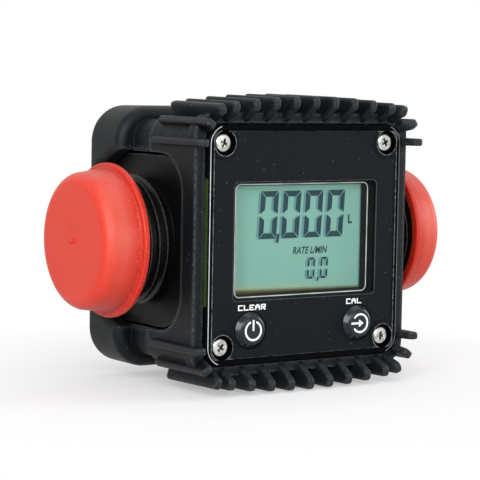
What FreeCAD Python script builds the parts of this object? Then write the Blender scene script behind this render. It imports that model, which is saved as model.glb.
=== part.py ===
import FreeCAD, Part
import math
import os

V = FreeCAD.Vector

# Driving sizes in millimetres. X is the flow axis, the display faces -Y and Z is up.
# Every piece is drawn about the middle of the flow axis; export moves it to the row's origin.
# Most places are worked out below from the bore, the case and the clearances between pieces.

# Ports of the turbine body
bore_radius = 12.6
tube_wall = 3.8
thread_radius = 15.9
thread_length = 17.5
undercut_depth = 0.8
undercut_length = 1.5
stub_chamfer = 2.2
plate_stand = 2.5
plate_thickness = 4.8
plate_half_height = 21.7
plate_rear = 17.0
plate_case_gap = 0.3
plate_frame_gap = 0.1
plate_front_corner = 9.5
plate_rear_corner = 2.0
plate_edge_round = 0.4
port_gap = 0.6
spigot_wall = 2.0
spigot_length = 2.0
spigot_clearance = 0.05

# Turbine cartridge inside the bore
metering_step = 0.8
metering_half = 13.5
straightener_length = 10.0
straightener_ring = 1.1
straightener_clearance = 0.1
straightener_hub = 4.2
straightener_nose = 6.0
straightener_vanes = 4
vane_thickness = 1.4
retainer_width = 1.1
retainer_depth = 0.9
retainer_height = 2.2
retainer_opening = 50.0
shaft_radius = 1.0
shaft_clearance = 0.03
shaft_end_play = 0.3
bush_radius = 2.2
bush_length = 6.0
bush_stand = 1.1
rotor_hub_radius = 4.0
rotor_hub_round = 1.4
rotor_blades = 4
rotor_twist = 75.0
blade_half_length = 9.5
blade_thickness = 1.5
blade_tip_gap = 0.5
blade_sections = 7
magnet_radius = 1.2
magnet_length = 2.0
magnet_sink = 0.2
magnet_clearance = 0.05

# Frame of the turbine body that carries the display module
frame_thickness = 3.0
frame_gap_x = 0.3
frame_gap_z = 1.0
frame_corner = 4.0
boss_radius = 3.2
boss_depth = 12.0
boss_floor = 2.0
web_thickness = 2.0
web_spacing = 13.0

# Electronics case with two small cells along X, above and below the flow tube
case_half = 29.9
case_wall = 1.4
case_floor = 1.2
case_tube_gap = 0.1
post_radius = 2.4
cell_radius = 5.25
cell_tip_radius = 1.9
cell_tip_length = 0.8
cell_front_gap = 1.3
well_clearance = 0.25
well_wall = 1.0
well_edge_gap = 1.4
well_screw_gap = 0.025
contact_thickness = 0.4
contact_half = 3.6
board_thickness = 1.0
board_gap = 0.5
board_edge_gap = 0.5
board_corner = 2.5
board_post_gap = 1.0
rest_radius = 1.5
rest_inset = 2.8
rest_z = 8.0
sensor_half = 2.2
sensor_length = 2.6
sensor_pocket_gap = 0.3
chip_half_x = 4.0
chip_half_z = 3.0
chip_height = 1.2
chip_inset = 5.0
gasket_thickness = 0.7
gasket_width = 1.4

# Clear front cover, its printed label and its screws
cover_lip = 0.1
cover_thickness = 2.8
cover_corner = 4.5
cover_edge_round = 0.6
label_border = 1.8
label_recess = 0.4
label_thickness = 0.25
label_corner = 1.5
label_edge_gap = 0.1
screw_inset = 4.75
screw_head_radius = 2.45
screw_head_height = 1.2
screw_head_round = 0.66
screw_sink = 0.7
screw_radius = 1.25
screw_hole_clearance = 0.2
screw_bite_clearance = 0.03
screw_end_gap = 1.0
screw_pocket_gap = 0.6
screw_land = 1.1
window_border_x = 7.7
window_border_bottom = 16.1
window_border_top = 14.4
window_corner = 1.2

# Display glass behind the window
lcd_thickness = 1.3
lcd_inset_x = 2.6
lcd_inset_bottom = 1.4
lcd_inset_top = 1.1
lcd_seat_gap_x = 1.2
lcd_seat_gap_z = 0.5
lcd_seat_depth = 0.4
lcd_seat_corner = 1.6
reflector_thickness = 0.5
strip_width = 1.2
holder_margin_x = 3.6
holder_margin_z = 1.3
holder_lip = 0.3
holder_clearance = 0.1
holder_cover_gap = 0.1

# Keys and the switches under them
key_radius = 4.6
key_clearance = 0.2
key_dome = 1.4
key_shoulder = 1.15
key_edge_round = 0.9
key_flange = 0.7
key_flange_thickness = 0.5
key_holder_gap = 0.8
key_notch_gap = 0.55
key_travel = 0.35
key_play = 0.05
key_stop_gap = 0.1
plunger_radius = 1.6
plunger_clearance = 0.08
switch_half = 3.0
switch_floor = 0.15

# Finned rubber guard round the display module
guard_setback = 1.6
guard_overlap = 2.5
guard_clearance = 0.1
guard_side_wall = 3.0
guard_top_wall = 1.4
guard_corner = 5.4
rim_depth = 3.2
rim_wall = 2.6
fin_thickness = 1.9
fin_overhang = 3.6
fin_rear_gap = 3.4
fin_nose_drop = 3.0
fin_nose_round = 1.2
fin_chin_round = 1.5
fin_rear_round = 1.0
fin_side_round = 0.55
fin_root_gap = 0.5
fin_height = 7.4
fin_fall = 1.9
fin_slope = 0.4
fin_pitch = 6.05
fin_end_shift = 2.95
fin_end_lean = 18.0
fins_per_side = 5
side_fin_height = 5.2
side_fin_inset = 4.6
corner_fin_lean = 52.0
corner_fin_height = 4.7

# Rear rubber shell
shell_overhang = 5.0
shell_rise = 3.7
shell_corner = 9.5
shell_round = 2.4
shell_wall = 2.3
shell_fit_gap = 0.3
shell_seat_gap = 0.2
shell_port_gap = 1.3
shell_port_round = 1.8
neck_length = 7.8
neck_rise = 0.4
neck_corner = 5.0

# Push-on port caps
cap_overlap = 9.5
cap_fit = 1.5
cap_wall = 0.7
cap_taper = 1.2
cap_flange = 1.6
cap_flange_height = 1.4
cap_flange_round = 0.5
cap_end_gap = 0.3
cap_end_wall = 1.1
cap_round = 3.4
cap_gate_radius = 0.6
cap_gate_height = 0.8
cap_gate_round = 0.35

# Closeness at which an edge counts as lying on a plane
close = 0.001

# Widths and heights worked out from the sizes above
tube_radius = bore_radius + tube_wall
metering_radius = bore_radius - metering_step
spigot_radius = bore_radius + spigot_wall
undercut_radius = thread_radius - undercut_depth
cover_half = case_half + cover_lip
case_corner = cover_corner - cover_lip
frame_half_x = case_half - frame_gap_x
frame_half_z = case_half - frame_gap_z
board_half = case_half - case_wall - board_edge_gap
label_half = cover_half - label_border
screw_pitch_half = cover_half - screw_inset
head_pocket_radius = screw_head_radius + screw_pocket_gap
label_notch_radius = head_pocket_radius + screw_land
window_half = cover_half - window_border_x
window_bottom = window_border_bottom - cover_half
window_top = cover_half - window_border_top
lcd_half = window_half - lcd_inset_x
lcd_bottom = window_bottom + lcd_inset_bottom
lcd_top = window_top - lcd_inset_top
holder_bottom = window_bottom - holder_margin_z
holder_top = window_top + holder_margin_z
key_z = holder_bottom - key_holder_gap - key_flange - key_radius
key_rise = screw_pitch_half + key_z
key_screw_spacing = label_notch_radius + key_notch_gap + key_radius
key_x = screw_pitch_half - math.sqrt(max(key_screw_spacing ** 2 - key_rise ** 2, 0))

# The cells lie against the case's edge and are as long as fits between the screws
well_half_height = cell_radius + well_clearance
cell_z = case_half - well_edge_gap - well_wall - well_half_height
well_half_length = screw_pitch_half - screw_radius - screw_hole_clearance - well_screw_gap - well_wall
cell_length = 2 * (well_half_length - contact_thickness) - well_clearance

# The module stands as far forward as its sensor pocket and cell wells need to clear the tube
well_depth = cell_front_gap + 2 * well_half_height + well_wall
pocket_depth = sensor_length + sensor_pocket_gap + well_wall - board_gap
tube_reach = tube_radius + case_tube_gap
well_inner_z = cell_z - well_half_height - well_wall
well_tube_y = math.sqrt(max(tube_reach ** 2 - well_inner_z ** 2, 0))
floor_front = min(-tube_reach - pocket_depth, -well_tube_y - well_depth)

# Places along Y, from the case floor forward to the fins and back to the shell
well_back = floor_front + well_depth
cell_y = well_back - well_wall - well_half_height
case_back = floor_front + case_floor
board_back = floor_front - board_gap
board_front = board_back - board_thickness
lcd_back = board_front - reflector_thickness
lcd_front = lcd_back - lcd_thickness
holder_front = lcd_front - holder_lip
cover_back = holder_front - holder_cover_gap
case_rim = cover_back + gasket_thickness
cover_front = cover_back - cover_thickness
label_back = cover_front + label_recess
label_front = label_back - label_thickness
screw_head_front = cover_front + screw_sink
screw_head_back = screw_head_front + screw_head_height
flange_front = cover_back + key_play
flange_back = flange_front + key_flange_thickness
key_back = flange_back + key_play
switch_front = flange_back + key_travel + key_stop_gap
switch_bottom = board_front - switch_floor
plunger_back = switch_bottom - key_stop_gap - key_travel
frame_front = well_back + case_tube_gap
frame_back = frame_front + frame_thickness
screw_hole_end = frame_front + boss_depth - boss_floor
guard_front = cover_front + guard_setback
guard_back = frame_front + guard_overlap
fin_nose = cover_front - fin_overhang
fin_rear = guard_back - fin_rear_gap
plate_front = case_back + plate_case_gap
shell_front = guard_back + neck_length
shell_inner_back = plate_rear + shell_seat_gap
shell_back = shell_inner_back + shell_wall

# Outlines of the guard and the rear shell
guard_half_x = cover_half + guard_side_wall
guard_half_z = cover_half + guard_top_wall
rim_half_z = cover_half + rim_wall
fin_reach = cover_half + fin_height
fin_end_x = fins_per_side * fin_pitch - fin_end_shift
side_fin_reach = cover_half + side_fin_height
side_fin_z = cover_half - side_fin_inset
plate_face = cover_half + plate_stand
shell_half_x = plate_face + shell_overhang
shell_half_z = cover_half + shell_rise
shell_port_radius = plate_half_height + shell_port_gap
shell_inner_half_x = frame_half_x + shell_fit_gap
shell_inner_half_z = frame_half_z + shell_fit_gap
neck_half_z = cover_half + neck_rise

# Places along the flow axis
plate_inner = plate_face - plate_thickness
spigot_end = plate_inner + spigot_length
thread_start = plate_face + undercut_length
stub_end = thread_start + thread_length
bush_start = metering_half - bush_stand
bush_end = bush_start + bush_length
hub_end = bush_start - shaft_end_play
straightener_end = metering_half + straightener_length
retainer_start = straightener_end + straightener_clearance
retainer_end = retainer_start + retainer_width
cap_mouth = stub_end - cap_overlap
cap_floor = stub_end + cap_end_gap
cap_end = cap_floor + cap_end_wall
cap_gate_end = cap_end + cap_gate_height
cap_root_radius = thread_radius + cap_fit + cap_wall
cap_end_radius = cap_root_radius - cap_taper
cap_flange_radius = cap_root_radius + cap_flange_height
origin_shift = V(0, -(fin_nose + shell_back) / 2, fin_reach)


def box_between(x0, x1, y0, y1, z0, z1):
    return Part.makeBox(x1 - x0, y1 - y0, z1 - z0, V(x0, y0, z0))


def rod_x(radius, x0, x1, y=0.0, z=0.0):
    return Part.makeCylinder(radius, x1 - x0, V(x0, y, z), V(1, 0, 0))


def rod_y(radius, y0, y1, x, z):
    return Part.makeCylinder(radius, y1 - y0, V(x, y0, z), V(0, 1, 0))


def edges_along(shape, axis):
    return [e for e in shape.Edges if abs(e.tangentAt(e.FirstParameter).dot(axis)) > 1 - close]


def circles_at(shape, x):
    flat = [e for e in shape.Edges if e.BoundBox.XLength < close]
    return [e for e in flat if abs(e.BoundBox.XMin - x) < close]


def edges_at_y(shape, y):
    flat = [e for e in shape.Edges if e.BoundBox.YLength < close]
    return [e for e in flat if abs(e.BoundBox.YMin - y) < close]


def slab(half_x, z0, z1, corner, y0, y1):
    """A plate facing -Y with round corners, from y0 back to y1."""
    plate = box_between(-half_x, half_x, y0, y1, z0, z1)
    return plate.makeFillet(corner, edges_along(plate, V(0, 1, 0)))


def square_slab(half_x, half_z, corner, y0, y1):
    return slab(half_x, -half_z, half_z, corner, y0, y1)


def outline_face(corners, place):
    """A flat face from (a, b, round) corners, each rounded by an arc; place maps (a, b) to space."""
    spots = [V(c[0], c[1], 0) for c in corners]
    ends = []
    edges = []
    for i, corner in enumerate(corners):
        spot = spots[i]
        back = (spots[i - 1] - spot).normalize()
        ahead = (spots[(i + 1) % len(spots)] - spot).normalize()
        if len(corner) < 3:
            ends.append((spot, spot))
            continue
        half_angle = back.getAngle(ahead) / 2
        reach = corner[2] / math.tan(half_angle)
        inward = (back + ahead).normalize()
        crown = spot + inward * (corner[2] / math.sin(half_angle) - corner[2])
        ends.append((spot + back * reach, spot + ahead * reach))
        arc = [place(p.x, p.y) for p in (ends[i][0], crown, ends[i][1])]
        edges.append(Part.Arc(*arc).toShape())
    for i, (first, last) in enumerate(ends):
        start = ends[i - 1][1]
        if (first - start).Length > close:
            edges.append(Part.makeLine(place(start.x, start.y), place(first.x, first.y)))
    return Part.Face(Part.Wire(Part.__sortEdges__(edges)))


def turned(profile, sweep=360):
    """A solid of revolution about the flow axis from (x, radius, round) corners."""
    face = outline_face(profile, lambda x, radius: V(x, 0, radius))
    return face.revolve(V(0, 0, 0), V(1, 0, 0), sweep)


def prism_x(outline, x0, x1):
    """A block between two X planes from (y, z, round) corners."""
    return outline_face(outline, lambda y, z: V(x0, y, z)).extrude(V(x1 - x0, 0, 0))


def mirrored_x(shape):
    return shape.mirror(V(0, 0, 0), V(1, 0, 0))


def mirrored_z(shape):
    return shape.mirror(V(0, 0, 0), V(0, 0, 1))


def screw_places():
    return [(sx * screw_pitch_half, sz * screw_pitch_half) for sx in (-1, 1) for sz in (-1, 1)]


def port_block(x0, x1, grow):
    """The port plate's outline, grown all round, as a block between two X planes."""
    front = plate_front - grow
    rear = plate_rear + grow
    tall = plate_half_height + grow
    front_round = plate_front_corner + grow
    rear_round = plate_rear_corner + grow
    return prism_x([
        (front, -tall, front_round), (front, tall, front_round),
        (rear, tall, rear_round), (rear, -tall, rear_round),
    ], x0, x1)


def port_end():
    """Port plate with its stub, seated over the tube's spigot; the thread is a plain cylinder here."""
    stub = turned([
        (plate_inner, 0), (plate_inner, undercut_radius), (thread_start, undercut_radius),
        (thread_start, thread_radius), (stub_end - stub_chamfer, thread_radius),
        (stub_end, thread_radius - stub_chamfer), (stub_end, 0),
    ])
    plate = port_block(plate_inner, plate_face, 0)
    plate = plate.makeFillet(plate_edge_round, circles_at(plate, plate_face))
    socket = rod_x(spigot_radius + spigot_clearance, plate_inner, spigot_end)
    bore = rod_x(bore_radius, plate_inner, stub_end)
    return stub.fuse(plate).cut(Part.makeCompound([socket, bore])).removeSplitter()


def turbine_body():
    """Moulded flow tube with the frame, bosses and webs that carry the display module."""
    half = turned([
        (0, 0), (0, tube_radius), (plate_inner, tube_radius), (plate_inner, spigot_radius),
        (spigot_end, spigot_radius), (spigot_end, 0),
    ])
    frame = square_slab(frame_half_x, frame_half_z, frame_corner, frame_front, frame_back)
    notch = port_block(plate_inner, plate_face, plate_frame_gap)
    frame = frame.cut(Part.makeCompound([notch, mirrored_x(notch)]))
    bosses = [rod_y(boss_radius, frame_front, frame_front + boss_depth, x, z) for x, z in screw_places()]
    webs = []
    for x in (-web_spacing, 0, web_spacing):
        webs.append(box_between(x - web_thickness / 2, x + web_thickness / 2, frame_front,
                                frame_front + boss_depth, -frame_half_z, frame_half_z))
    body = half.multiFuse([mirrored_x(half), frame] + bosses + webs)
    hole = screw_radius + screw_bite_clearance
    drills = [rod_y(hole, frame_front, screw_hole_end, x, z) for x, z in screw_places()]
    groove = rod_x(bore_radius + retainer_depth, retainer_start, retainer_end + straightener_clearance)
    bore = rod_x(bore_radius, metering_half, spigot_end)
    passage = rod_x(metering_radius, -metering_half, metering_half)
    cuts = [passage, bore, groove, mirrored_x(bore), mirrored_x(groove)]
    return body.cut(Part.makeCompound(cuts + drills)).removeSplitter()


def straightener():
    """Outlet spider: a ring in the bore, radial vanes and a hub that carries the bush."""
    outer = bore_radius - straightener_clearance
    ring = rod_x(outer, metering_half, straightener_end)
    ring = ring.cut(rod_x(outer - straightener_ring, metering_half, straightener_end))
    hub = turned([
        (metering_half, 0), (metering_half, straightener_hub), (straightener_end, straightener_hub),
        (straightener_end + straightener_nose, 0),
    ])
    vanes = []
    for i in range(straightener_vanes):
        vane = box_between(metering_half, straightener_end, -vane_thickness / 2, vane_thickness / 2,
                           straightener_hub - vane_thickness / 2, outer - straightener_ring / 2)
        vane.rotate(V(0, 0, 0), V(1, 0, 0), 360 * (i + 0.5) / straightener_vanes)
        vanes.append(vane)
    spider = ring.multiFuse([hub] + vanes)
    return spider.cut(rod_x(bush_radius, metering_half, bush_end))


def bearing_bush():
    bush = rod_x(bush_radius, bush_start, bush_end)
    return bush.cut(rod_x(shaft_radius + shaft_clearance, bush_start, bush_end))


def retaining_ring():
    """Spring ring that snaps into the bore groove, open at the bottom."""
    outer = bore_radius + retainer_depth - straightener_clearance
    inner = outer - retainer_height
    ring = turned([
        (retainer_start, inner), (retainer_start, outer), (retainer_end, outer), (retainer_end, inner),
    ], 360 - retainer_opening)
    ring.rotate(V(0, 0, 0), V(1, 0, 0), 180 + retainer_opening / 2)
    return ring


def blade(start_angle):
    """One helical blade: radial sections lofted along the flow axis, trimmed to the tip circle."""
    tip = metering_radius - blade_tip_gap
    root = rotor_hub_radius / 2
    half = blade_thickness / 2
    sections = []
    for i in range(blade_sections):
        share = i / (blade_sections - 1)
        x = blade_half_length * (2 * share - 1)
        corners = [(-half, root), (half, root), (half, metering_radius), (-half, metering_radius)]
        points = [V(x, y, z) for y, z in corners]
        wire = Part.makePolygon(points + points[:1])
        wire.rotate(V(0, 0, 0), V(1, 0, 0), start_angle + rotor_twist * share)
        sections.append(wire)
    loft = Part.makeLoft(sections, True)
    return loft.common(rod_x(tip, -blade_half_length, blade_half_length))


def magnet_places():
    """Two opposite gaps between the blades, half-way along the hub."""
    first = 180 / rotor_blades + rotor_twist / 2
    return [first, first + 180]


def radial_rod(radius, inner, outer, angle):
    rod = Part.makeCylinder(radius, outer - inner, V(0, 0, inner), V(0, 0, 1))
    rod.rotate(V(0, 0, 0), V(1, 0, 0), angle)
    return rod


def turbine_rotor():
    """Four helical blades on a round-ended hub, with pockets for the two pulse magnets."""
    hub = rod_x(rotor_hub_radius, -hub_end, hub_end)
    hub = hub.makeFillet(rotor_hub_round, circles_at(hub, hub_end) + circles_at(hub, -hub_end))
    rotor = hub.multiFuse([blade(360 * i / rotor_blades) for i in range(rotor_blades)])
    rotor = rotor.cut(rod_x(shaft_radius, -hub_end, hub_end))
    floor = rotor_hub_radius - magnet_length
    for angle in magnet_places():
        rotor = rotor.cut(radial_rod(magnet_radius + magnet_clearance, floor, metering_radius, angle))
    return rotor


def rotor_magnets():
    floor = rotor_hub_radius - magnet_length
    outer = rotor_hub_radius - magnet_sink
    return [radial_rod(magnet_radius, floor, outer, angle) for angle in magnet_places()]


def rotor_shaft():
    length = bush_end - shaft_end_play
    return rod_x(shaft_radius, -length, length)


def front_cover():
    """Clear face plate: sunk field for the label, screw pockets, key holes and a seat for the glass."""
    cover = square_slab(cover_half, cover_half, cover_corner, cover_front, cover_back)
    cover = cover.makeFillet(cover_edge_round, edges_at_y(cover, cover_front))
    field = square_slab(label_half, label_half, label_corner, cover_front, label_back)
    for x, z in screw_places():
        field = field.cut(rod_y(label_notch_radius, cover_front, label_back, x, z))
    seat = slab(lcd_half + lcd_seat_gap_x, lcd_bottom - lcd_seat_gap_z, lcd_top + lcd_seat_gap_z,
                lcd_seat_corner, cover_back - lcd_seat_depth, cover_back)
    cuts = [field, seat]
    for x, z in screw_places():
        cuts.append(rod_y(head_pocket_radius, cover_front, screw_head_back, x, z))
        cuts.append(rod_y(screw_radius + screw_hole_clearance, cover_front, cover_back, x, z))
    for x in (-key_x, key_x):
        cuts.append(rod_y(key_radius + key_clearance, cover_front, cover_back, x, key_z))
    return cover.cut(Part.makeCompound(cuts))


def face_label():
    """Printed film in the sunk field, cut out for the window, the screws and the keys."""
    half = label_half - label_edge_gap
    film = square_slab(half, half, label_corner, label_front, label_back)
    cuts = [slab(window_half, window_bottom, window_top, window_corner, label_front, label_back)]
    for x, z in screw_places():
        cuts.append(rod_y(label_notch_radius + label_edge_gap, label_front, label_back, x, z))
    for x in (-key_x, key_x):
        cuts.append(rod_y(key_radius + key_clearance, label_front, label_back, x, key_z))
    return film.cut(Part.makeCompound(cuts))


def cover_screws():
    """Four long pan-head screws that clamp the cover and the case to the body."""
    screws = []
    for x, z in screw_places():
        head = rod_y(screw_head_radius, screw_head_front, screw_head_back, x, z)
        head = head.makeFillet(screw_head_round, edges_at_y(head, screw_head_front))
        shank = rod_y(screw_radius, screw_head_back, screw_hole_end - screw_end_gap, x, z)
        screws.append(head.fuse(shank).removeSplitter())
    return screws


def case_gasket():
    outer = case_half - case_wall / 2 + gasket_width / 2
    inner = outer - gasket_width
    ring = square_slab(outer, outer, case_corner, cover_back, case_rim)
    return ring.cut(square_slab(inner, inner, case_corner - gasket_width, cover_back, case_rim))


def electronics_case():
    """Shallow tray with two deep cell wells, a sensor pocket and corner posts for the screws."""
    tray = square_slab(case_half, case_half, case_corner, case_rim, case_back)
    inner = case_half - case_wall
    hollows = [square_slab(inner, inner, case_corner - case_wall, case_rim, floor_front)]
    solids = []
    for z in (-cell_z, cell_z):
        tall = well_half_height + well_wall
        long = well_half_length + well_wall
        solids.append(box_between(-long, long, floor_front, well_back, z - tall, z + tall))
        hollows.append(box_between(-well_half_length, well_half_length, floor_front,
                                   well_back - well_wall, z - well_half_height, z + well_half_height))
    pocket = sensor_half + sensor_pocket_gap
    pocket_floor = board_back + sensor_length + sensor_pocket_gap
    wide = pocket + well_wall
    solids.append(box_between(-wide, wide, floor_front, pocket_floor + well_wall, -wide, wide))
    hollows.append(box_between(-pocket, pocket, floor_front, pocket_floor, -pocket, pocket))
    posts = [rod_y(post_radius, case_rim, frame_front, x, z) for x, z in screw_places()]
    rest_x = board_half - rest_inset
    rests = [rod_y(rest_radius, board_back, floor_front, sx * rest_x, sz * rest_z)
             for sx in (-1, 1) for sz in (-1, 1)]
    case = tray.multiFuse(solids).cut(Part.makeCompound(hollows)).multiFuse(posts + rests)
    hole = screw_radius + screw_hole_clearance
    drills = [rod_y(hole, case_rim, frame_front, x, z) for x, z in screw_places()]
    return case.cut(Part.makeCompound(drills))


def circuit_board():
    board = square_slab(board_half, board_half, board_corner, board_front, board_back)
    notch = post_radius + board_post_gap
    cuts = [rod_y(notch, board_front, board_back, x, z) for x, z in screw_places()]
    return board.cut(Part.makeCompound(cuts))


def controller_chip():
    middle = board_half - chip_inset
    return box_between(-chip_half_x, chip_half_x, board_front - chip_height, board_front,
                       middle - chip_half_z, middle + chip_half_z)


def pulse_sensor():
    """Magnetic pulse pick-up that reaches back from the board to the tube wall."""
    return box_between(-sensor_half, sensor_half, board_back, board_back + sensor_length,
                       -sensor_half, sensor_half)


def lcd_panel():
    return box_between(-lcd_half, lcd_half, lcd_front, lcd_back, lcd_bottom, lcd_top)


def lcd_reflector():
    """Foil between the glass and the board, clear of the two contact strips."""
    low = lcd_bottom + strip_width
    high = lcd_top - strip_width
    return box_between(-lcd_half, lcd_half, lcd_back, board_front, low, high)


def lcd_strips():
    """Two striped rubber strips that join the display's edges to the board."""
    strips = []
    for low in (lcd_bottom, lcd_top - strip_width):
        strips.append(box_between(-lcd_half, lcd_half, lcd_back, board_front, low, low + strip_width))
    return strips


def lcd_frame():
    """Black holder round the display glass, wider than the window."""
    outer = window_half + holder_margin_x
    inner = lcd_half + holder_clearance
    ring = box_between(-outer, outer, holder_front, board_front, holder_bottom, holder_top)
    return ring.cut(box_between(-inner, inner, holder_front, board_front, lcd_bottom - holder_clearance,
                                lcd_top + holder_clearance))


def key(x):
    """Round key with a sloping shoulder and a hidden flange that stops it behind the cover."""
    top = label_front - key_dome
    stem = rod_y(key_radius, label_front, flange_front, x, key_z)
    base = V(x, label_front, key_z)
    dome = Part.makeCone(key_radius, key_radius - key_shoulder, key_dome, base, V(0, -1, 0))
    dome = dome.makeFillet(key_edge_round, edges_at_y(dome, top))
    flange = rod_y(key_radius + key_flange, flange_front, flange_back, x, key_z)
    foot = rod_y(plunger_radius, flange_back, key_back, x, key_z)
    return stem.multiFuse([dome, flange, foot])


def plunger(x):
    return rod_y(plunger_radius, key_back, plunger_back, x, key_z)


def switch_housing(x):
    housing = box_between(x - switch_half, x + switch_half, switch_front, board_front,
                          key_z - switch_half, key_z + switch_half)
    return housing.cut(rod_y(plunger_radius + plunger_clearance, switch_front, switch_bottom, x, key_z))


def cell(side):
    """One small dry cell with its raised tip; the two lie opposite ways round."""
    half = cell_length / 2
    tip = cell_tip_length
    can = turned([
        (-half, 0), (-half, cell_radius), (half - tip, cell_radius), (half - tip, cell_tip_radius),
        (half, cell_tip_radius), (half, 0),
    ])
    if side < 0:
        can = mirrored_x(can)
    can.translate(V(0, cell_y, side * cell_z))
    return can


def cell_contacts():
    """Four spring-metal plates at the ends of the cell wells."""
    plates = []
    for sx in (-1, 1):
        for sz in (-1, 1):
            near = sx * cell_length / 2
            far = near + sx * contact_thickness
            plates.append(box_between(min(near, far), max(near, far), cell_y - contact_half,
                                      cell_y + contact_half, sz * cell_z - contact_half,
                                      sz * cell_z + contact_half))
    return plates


def fin(root, reach):
    """A fin in the YZ plane: its front edge leans forward to a round nose, and its edges are soft."""
    plain = prism_x([
        (fin_rear, root), (guard_front, root), (fin_nose, reach - fin_nose_drop, fin_chin_round),
        (fin_nose, reach - fin_slope, fin_nose_round), (fin_rear, reach, fin_rear_round),
    ], -fin_thickness / 2, fin_thickness / 2)
    side_edges = [e for e in plain.Edges if e.BoundBox.XLength < close and e.BoundBox.ZMax > root + close]
    return plain.makeFillet(fin_side_round, side_edges)


def upper_fins():
    """The row along the top edge with one leaning fin and one side fin at each corner."""
    root = cover_half + fin_root_gap
    fins = []
    for i in range(-fins_per_side, fins_per_side + 1):
        end = abs(i) == fins_per_side
        x = math.copysign(fin_end_x, i) if end else i * fin_pitch
        piece = fin(root, fin_reach - fin_fall * (x / fin_end_x) ** 2)
        if end:
            piece.rotate(V(0, 0, root), V(0, 1, 0), math.copysign(fin_end_lean, i))
        piece.translate(V(x, 0, 0))
        fins.append(piece)
    corner = cover_half - guard_corner
    corner_root = guard_corner + fin_root_gap
    for side in (-1, 1):
        leaning = fin(corner_root, corner_root + corner_fin_height)
        leaning.rotate(V(0, 0, 0), V(0, 1, 0), side * corner_fin_lean)
        leaning.translate(V(side * corner, 0, corner))
        level = fin(root, side_fin_reach)
        level.rotate(V(0, 0, 0), V(0, 1, 0), side * 90)
        level.translate(V(0, 0, side_fin_z))
        fins += [leaning, level]
    return fins


def finned_guard():
    """Rubber sleeve round the display module with a front rim and rows of guard fins."""
    wall = square_slab(guard_half_x, guard_half_z, guard_corner, guard_front, guard_back)
    rim = square_slab(guard_half_x, rim_half_z, guard_corner, guard_front, guard_front + rim_depth)
    sleeve = wall.fuse(rim)
    inner = cover_half + guard_clearance
    sleeve = sleeve.cut(square_slab(inner, inner, cover_corner, guard_front, guard_back))
    upper = upper_fins()
    sleeve = sleeve.multiFuse(upper + [mirrored_z(f) for f in upper])
    opening = port_block(cover_half, shell_half_x, port_gap)
    return sleeve.cut(Part.makeCompound([opening, mirrored_x(opening)]))


def rear_shell():
    """Rubber shell over the back of the body, with a neck and round openings for the ports."""
    outer = square_slab(shell_half_x, shell_half_z, shell_corner, shell_front, shell_back)
    rims = edges_at_y(outer, shell_front) + edges_at_y(outer, shell_back)
    outer = outer.makeFillet(shell_round, rims)
    neck = square_slab(guard_half_x, neck_half_z, neck_corner, guard_back, shell_front + 2 * shell_round)
    shell = outer.fuse(neck)
    hollow = square_slab(shell_inner_half_x, shell_inner_half_z, frame_corner, guard_back, shell_inner_back)
    block = port_block(frame_half_x, plate_face + port_gap, port_gap)
    inside = box_between(0, shell_half_x, guard_back, shell_inner_back, -shell_half_z, shell_half_z)
    block = block.common(inside)
    past = shell_half_x + shell_port_round
    wide = shell_port_radius + 2 * shell_port_round
    round_port = turned([
        (plate_face, 0), (plate_face, shell_port_radius),
        (shell_half_x, shell_port_radius, shell_port_round), (shell_half_x, wide), (past, wide), (past, 0),
    ])
    cuts = [hollow, block, round_port, mirrored_x(block), mirrored_x(round_port)]
    return shell.cut(Part.makeCompound(cuts))


def outlet_cap():
    """Thin push-on cap with a flange, a tapered wall and a round closed end with a gate nub."""
    root = cap_mouth + cap_flange
    return turned([
        (cap_mouth, cap_root_radius - cap_wall), (cap_mouth, cap_flange_radius, cap_flange_round),
        (root, cap_flange_radius, cap_flange_round), (root, cap_root_radius, cap_flange_round),
        (cap_end, cap_end_radius, cap_round), (cap_end, cap_gate_radius),
        (cap_gate_end, cap_gate_radius, cap_gate_round), (cap_gate_end, 0), (cap_floor, 0),
        (cap_floor, cap_end_radius - cap_wall, cap_round - cap_wall),
    ])


def export(name, pieces):
    solids = pieces if isinstance(pieces, list) else [pieces]
    shape = Part.makeCompound(solids) if len(solids) > 1 else solids[0]
    shape.translate(origin_shift)
    shape.exportStep(os.path.join("parts", name + ".step"))
    volume = sum(s.Volume for s in shape.Solids)
    print(name, len(shape.Solids), "solids", round(volume, 1), "mm3", shape.isValid())


outlet_side = {
    "port_end": port_end(),
    "straightener": straightener(),
    "bearing_bush": bearing_bush(),
    "retaining_ring": retaining_ring(),
    "cap": outlet_cap(),
}
pieces = {
    "turbine_body": turbine_body(),
    "turbine_rotor": turbine_rotor(),
    "rotor_shaft": rotor_shaft(),
    "rotor_magnets": rotor_magnets(),
    "electronics_case": electronics_case(),
    "case_gasket": case_gasket(),
    "circuit_board": circuit_board(),
    "controller_chip": controller_chip(),
    "pulse_sensor": pulse_sensor(),
    "lcd_panel": lcd_panel(),
    "lcd_reflector": lcd_reflector(),
    "lcd_strips": lcd_strips(),
    "lcd_frame": lcd_frame(),
    "upper_cell": cell(1),
    "lower_cell": cell(-1),
    "cell_contacts": cell_contacts(),
    "front_cover": front_cover(),
    "face_label": face_label(),
    "cover_screws": cover_screws(),
    "finned_guard": finned_guard(),
    "rear_shell": rear_shell(),
}
for side, x in (("reset", -key_x), ("calibrate", key_x)):
    pieces[side + "_key"] = key(x)
    pieces[side + "_plunger"] = plunger(x)
    pieces[side + "_switch"] = switch_housing(x)
for kind, shape in outlet_side.items():
    pieces["outlet_" + kind] = shape
    pieces["inlet_" + kind] = mirrored_x(shape)

os.makedirs("parts", exist_ok=True)
for name, shape in pieces.items():
    export(name, shape)
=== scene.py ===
import math

import bmesh
import bpy
from mathutils import Matrix, Vector


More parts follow.
